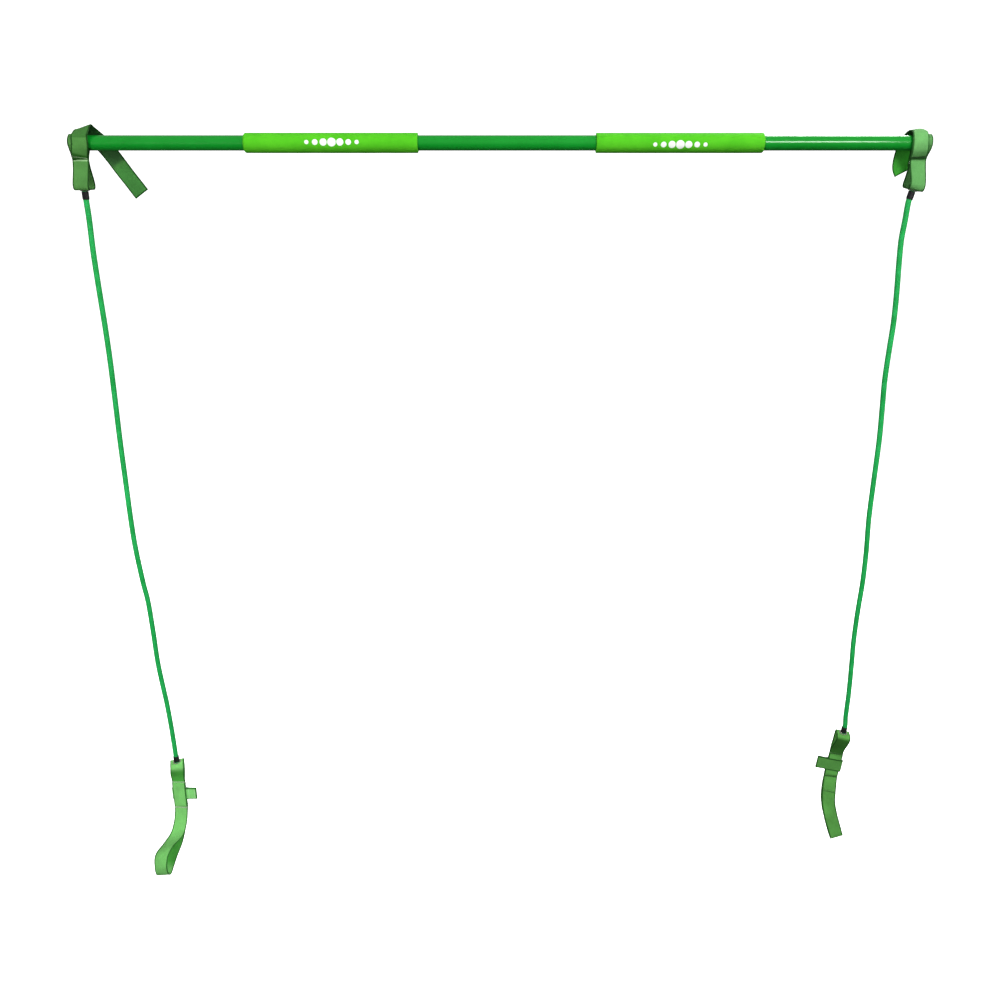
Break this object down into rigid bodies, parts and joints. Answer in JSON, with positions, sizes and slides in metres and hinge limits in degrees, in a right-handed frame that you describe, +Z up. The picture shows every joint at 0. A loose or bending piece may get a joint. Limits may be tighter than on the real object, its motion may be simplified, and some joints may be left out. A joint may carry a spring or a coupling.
{
  "type": "resistance tube exercise bar",
  "caption": "Exercise bar with foam grips, and a resistance tube with a webbing foot loop hanging from each end.",
  "frame": {"origin": "middle of the bar, on its centre line", "axes": "+X along the bar towards its right end, +Z up, +Y to the back: the front of the bar, where the straps come up, faces -Y"},
  "size_m": [1.3477, 0.0471, 1.3953],
  "materials": {
    "bar_paint": "glossy green paint",
    "grip_foam": "matte closed-cell foam",
    "strap_webbing": "flat woven webbing",
    "tube_rubber": "smooth, slightly translucent",
    "black_rubber": "satin",
    "eyelet_metal": "bright plating",
    "black_plastic": "satin moulded plastic"
  },
  "bodies": {
    "bar": {"bar_tube": "bar_paint", "left_end_cap": "black_plastic", "right_end_cap": "black_plastic", "left_foam_grip": "grip_foam", "right_foam_grip": "grip_foam"},
    "left_strap": {"left_bar_strap": "strap_webbing", "left_cinch_strap": "strap_webbing", "left_upper_eyelet": "eyelet_metal", "left_upper_washer": "eyelet_metal"},
    "left_tube_head": {"left_upper_stopper": "black_plastic", "left_upper_sleeve": "black_rubber"},
    "left_tube": {"left_resistance_tube": "tube_rubber"},
    "left_tube_foot": {"left_lower_sleeve": "black_rubber", "left_lower_stopper": "black_plastic"},
    "left_foot": {"left_foot_strap": "strap_webbing", "left_lower_eyelet": "eyelet_metal", "left_lower_washer": "eyelet_metal"},
    "left_keeper_band": {"left_keeper": "strap_webbing"},
    "right_strap": {"right_bar_strap": "strap_webbing", "right_cinch_strap": "strap_webbing", "right_upper_eyelet": "eyelet_metal", "right_upper_washer": "eyelet_metal"},
    "right_tube_head": {"right_upper_stopper": "black_plastic", "right_upper_sleeve": "black_rubber"},
    "right_tube": {"right_resistance_tube": "tube_rubber"},
    "right_tube_foot": {"right_lower_sleeve": "black_rubber", "right_lower_stopper": "black_plastic"},
    "right_foot": {"right_foot_strap": "strap_webbing", "right_lower_eyelet": "eyelet_metal", "right_lower_washer": "eyelet_metal"},
    "right_keeper_band": {"right_keeper": "strap_webbing"}
  },
  "joints": [
    {"name": "left_strap_swing", "type": "hinge", "parent": "bar", "child": "left_strap", "pos_m": [-0.6345, 0, 0], "axis": [1, 0, 0], "range_deg": [-110, 110]},
    {"name": "left_tube_swivel", "type": "hinge", "parent": "left_strap", "child": "left_tube_head", "pos_m": [-0.6353, 0, -0.0672], "axis": [0, 0, 1], "continuous": true},
    {"name": "left_tube_bend", "type": "hinge", "parent": "left_tube_head", "child": "left_tube", "pos_m": [-0.6353, 0, -0.0819], "axis": [0, 1, 0], "range_deg": [-45, 45]},
    {"name": "left_tube_stretch", "type": "slide", "parent": "left_tube", "child": "left_tube_foot", "axis": [0, 0, -1], "range_m": [0, 0.9], "stiffness_N_per_m": 45, "springref_m": -0.02, "deforming": ["left_resistance_tube"]},
    {"name": "left_foot_swivel", "type": "hinge", "parent": "left_tube_foot", "child": "left_foot", "pos_m": [-0.6136, 0, -1.108], "axis": [-0.0288, -0.0083, 0.9996], "continuous": true},
    {"name": "left_keeper_slide", "type": "slide", "parent": "left_foot", "child": "left_keeper_band", "axis": [-0.0205, 0, -0.9998], "range_m": [-0.009, 0.009]},
    {"name": "right_strap_swing", "type": "hinge", "parent": "bar", "child": "right_strap", "pos_m": [0.635, 0, 0], "axis": [-1, 0, 0], "range_deg": [-110, 110]},
    {"name": "right_tube_swivel", "type": "hinge", "parent": "right_strap", "child": "right_tube_head", "pos_m": [0.6313, 0, -0.0672], "axis": [0.2241, 0.0196, 0.9744], "continuous": true},
    {"name": "right_tube_bend", "type": "hinge", "parent": "right_tube_head", "child": "right_tube", "pos_m": [0.62801, -0.00029, -0.08152], "axis": [0, 1, 0], "range_deg": [-45, 45]},
    {"name": "right_tube_stretch", "type": "slide", "parent": "right_tube", "child": "right_tube_foot", "axis": [0, 0, -1], "range_m": [0, 0.9], "stiffness_N_per_m": 45, "springref_m": -0.02, "deforming": ["right_resistance_tube"]},
    {"name": "right_foot_swivel", "type": "hinge", "parent": "right_tube_foot", "child": "right_foot", "pos_m": [0.6438, 0, -1.0435], "axis": [0.0985, -0.0177, 0.995], "continuous": true},
    {"name": "right_keeper_slide", "type": "slide", "parent": "right_foot", "child": "right_keeper_band", "axis": [-0.0985, 0, -0.9951], "range_m": [-0.006, 0.008]}
  ]
}
